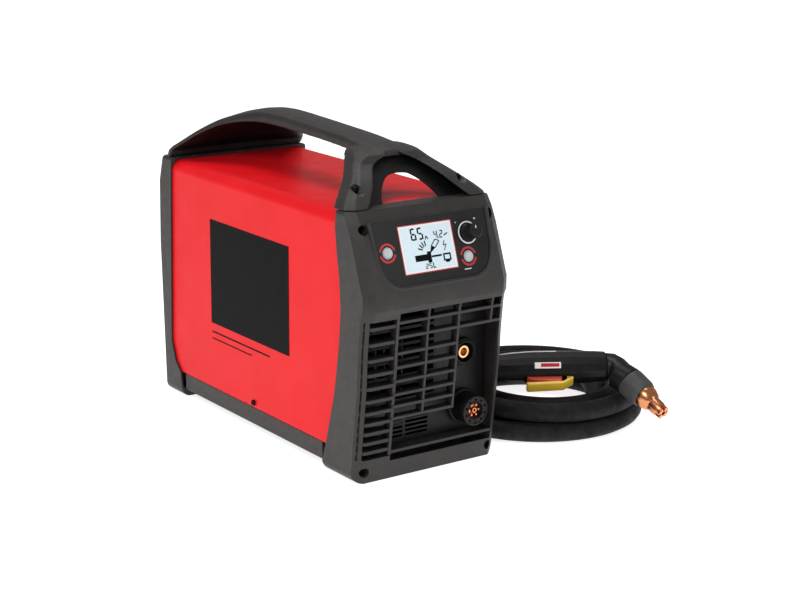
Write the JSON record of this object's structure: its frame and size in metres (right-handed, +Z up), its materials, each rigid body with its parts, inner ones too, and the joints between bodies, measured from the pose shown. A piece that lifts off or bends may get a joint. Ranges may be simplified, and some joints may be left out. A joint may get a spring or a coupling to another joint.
{
  "type": "plasma cutter unit",
  "caption": "Portable inverter plasma cutter with arched carrying handle, sloping control panel, front sockets and a hand torch on a coiled lead.",
  "frame": {"origin": "middle of the front foot's flat underside", "axes": "+Z up, -Y towards the front with the control panel, +X to the operator's right"},
  "size_m": [0.5163, 0.6094, 0.405],
  "materials": {
    "cover": "satin red powder coat",
    "housing": "fine textured charcoal moulding",
    "black_plastic": "satin black moulding",
    "coated_sheet": "black coated steel sheet",
    "fascia": "black film with a fine diagonal weave",
    "display": "clear window over a pale blue screen",
    "electronics": "circuit board and module",
    "button": "pale grey cap",
    "screw": "blackened steel",
    "brass": "bright",
    "copper": "bright copper alloy",
    "steel": "satin",
    "alloy": "extruded",
    "bowl": "smoked clear bowl",
    "torch_trigger": "satin",
    "torch_safety": "satin",
    "torch_cap": "dark grey moulding",
    "rubber": "matt",
    "sheath": "black woven sheath"
  },
  "bodies": {
    "unit": {"cover_shell": "cover", "base_tray": "housing", "front_bezel": "housing", "rear_bezel": "housing", "handle_shell": "housing", "handle_underside": "black_plastic", "earth_socket_body": "black_plastic", "torch_adapter_body": "black_plastic", "fan_frame": "black_plastic", "power_switch_body": "black_plastic", "cable_gland": "black_plastic", "torch_handle_left": "black_plastic", "torch_handle_right": "black_plastic", "torch_head": "black_plastic", "lead_plug_nut": "black_plastic", "rear_plate": "coated_sheet", "socket_panel": "coated_sheet", "control_fascia": "fascia", "display_window": "display", "display_module": "electronics", "control_board": "electronics", "power_board": "electronics", "encoder_body": "electronics", "front_screw_top_left": "screw", "front_screw_top_right": "screw", "front_screw_bottom_left": "screw", "front_screw_bottom_right": "screw", "handle_screw_left": "screw", "handle_screw_right": "screw", "cover_screw_left": "screw", "cover_screw_right": "screw", "rear_screw_top_left": "screw", "rear_screw_top_right": "screw", "rear_screw_bottom_left": "screw", "rear_screw_bottom_right": "screw", "earth_socket_contact": "brass", "air_inlet": "brass", "air_valve": "brass", "lead_plug_body": "brass", "torch_adapter_core": "copper", "torch_nozzle": "copper", "transformer": "steel", "regulator_body": "steel", "heat_sink": "alloy", "capacitor": "alloy", "filter_bowl": "bowl", "torch_cap": "torch_cap", "torch_boot": "rubber", "lead_plug_boot": "rubber", "torch_lead_start": "sheath", "lead_coil": "sheath", "torch_lead_end": "sheath"},
    "encoder_knob_body": {"encoder_knob": "black_plastic"},
    "mode_button_body": {"mode_button": "button"},
    "info_button_body": {"info_button": "button"},
    "power_switch_knob_body": {"power_switch_knob": "black_plastic"},
    "fan_rotor_body": {"fan_rotor": "black_plastic"},
    "regulator_knob_body": {"regulator_knob": "black_plastic"},
    "torch_trigger_body": {"torch_trigger": "torch_trigger"},
    "torch_safety_body": {"torch_safety": "torch_safety"}
  },
  "joints": [
    {"name": "encoder_knob_turn", "type": "hinge", "parent": "unit", "child": "encoder_knob_body", "pos_m": [0.0546, -0.04137, 0.29378], "axis": [0, -0.9438, 0.3307], "continuous": true},
    {"name": "mode_button_push", "type": "slide", "parent": "unit", "child": "mode_button_body", "axis": [0, -0.9438, 0.3307], "range_m": [-0.001, 0], "stiffness_N_per_m": 400},
    {"name": "info_button_push", "type": "slide", "parent": "unit", "child": "info_button_body", "axis": [0, -0.9438, 0.3307], "range_m": [-0.001, 0], "stiffness_N_per_m": 400},
    {"name": "power_switch_turn", "type": "hinge", "parent": "unit", "child": "power_switch_knob_body", "pos_m": [0.062, 0.424, 0.262], "axis": [0, 1, 0], "range_deg": [0, 90]},
    {"name": "fan_spin", "type": "hinge", "parent": "unit", "child": "fan_rotor_body", "pos_m": [-0.018, 0.424, 0.205], "axis": [0, 1, 0], "continuous": true},
    {"name": "regulator_knob_turn", "type": "hinge", "parent": "unit", "child": "regulator_knob_body", "pos_m": [0.052, 0.442, 0.112], "axis": [0, 0, 1], "range_deg": [-1080, 1080]},
    {"name": "torch_trigger_press", "type": "hinge", "parent": "unit", "child": "torch_trigger_body", "pos_m": [0.19764, 0.00702, 0.07269], "axis": [-0.3065, -0.4165, 0.8559], "range_deg": [0, 5.5], "stiffness_Nm_per_rad": 0.4},
    {"name": "torch_safety_lift", "type": "hinge", "parent": "unit", "child": "torch_safety_body", "pos_m": [0.23885, -0.02488, 0.07193], "axis": [-0.3065, -0.4165, 0.8559], "range_deg": [0, 10], "stiffness_Nm_per_rad": 0.2}
  ]
}
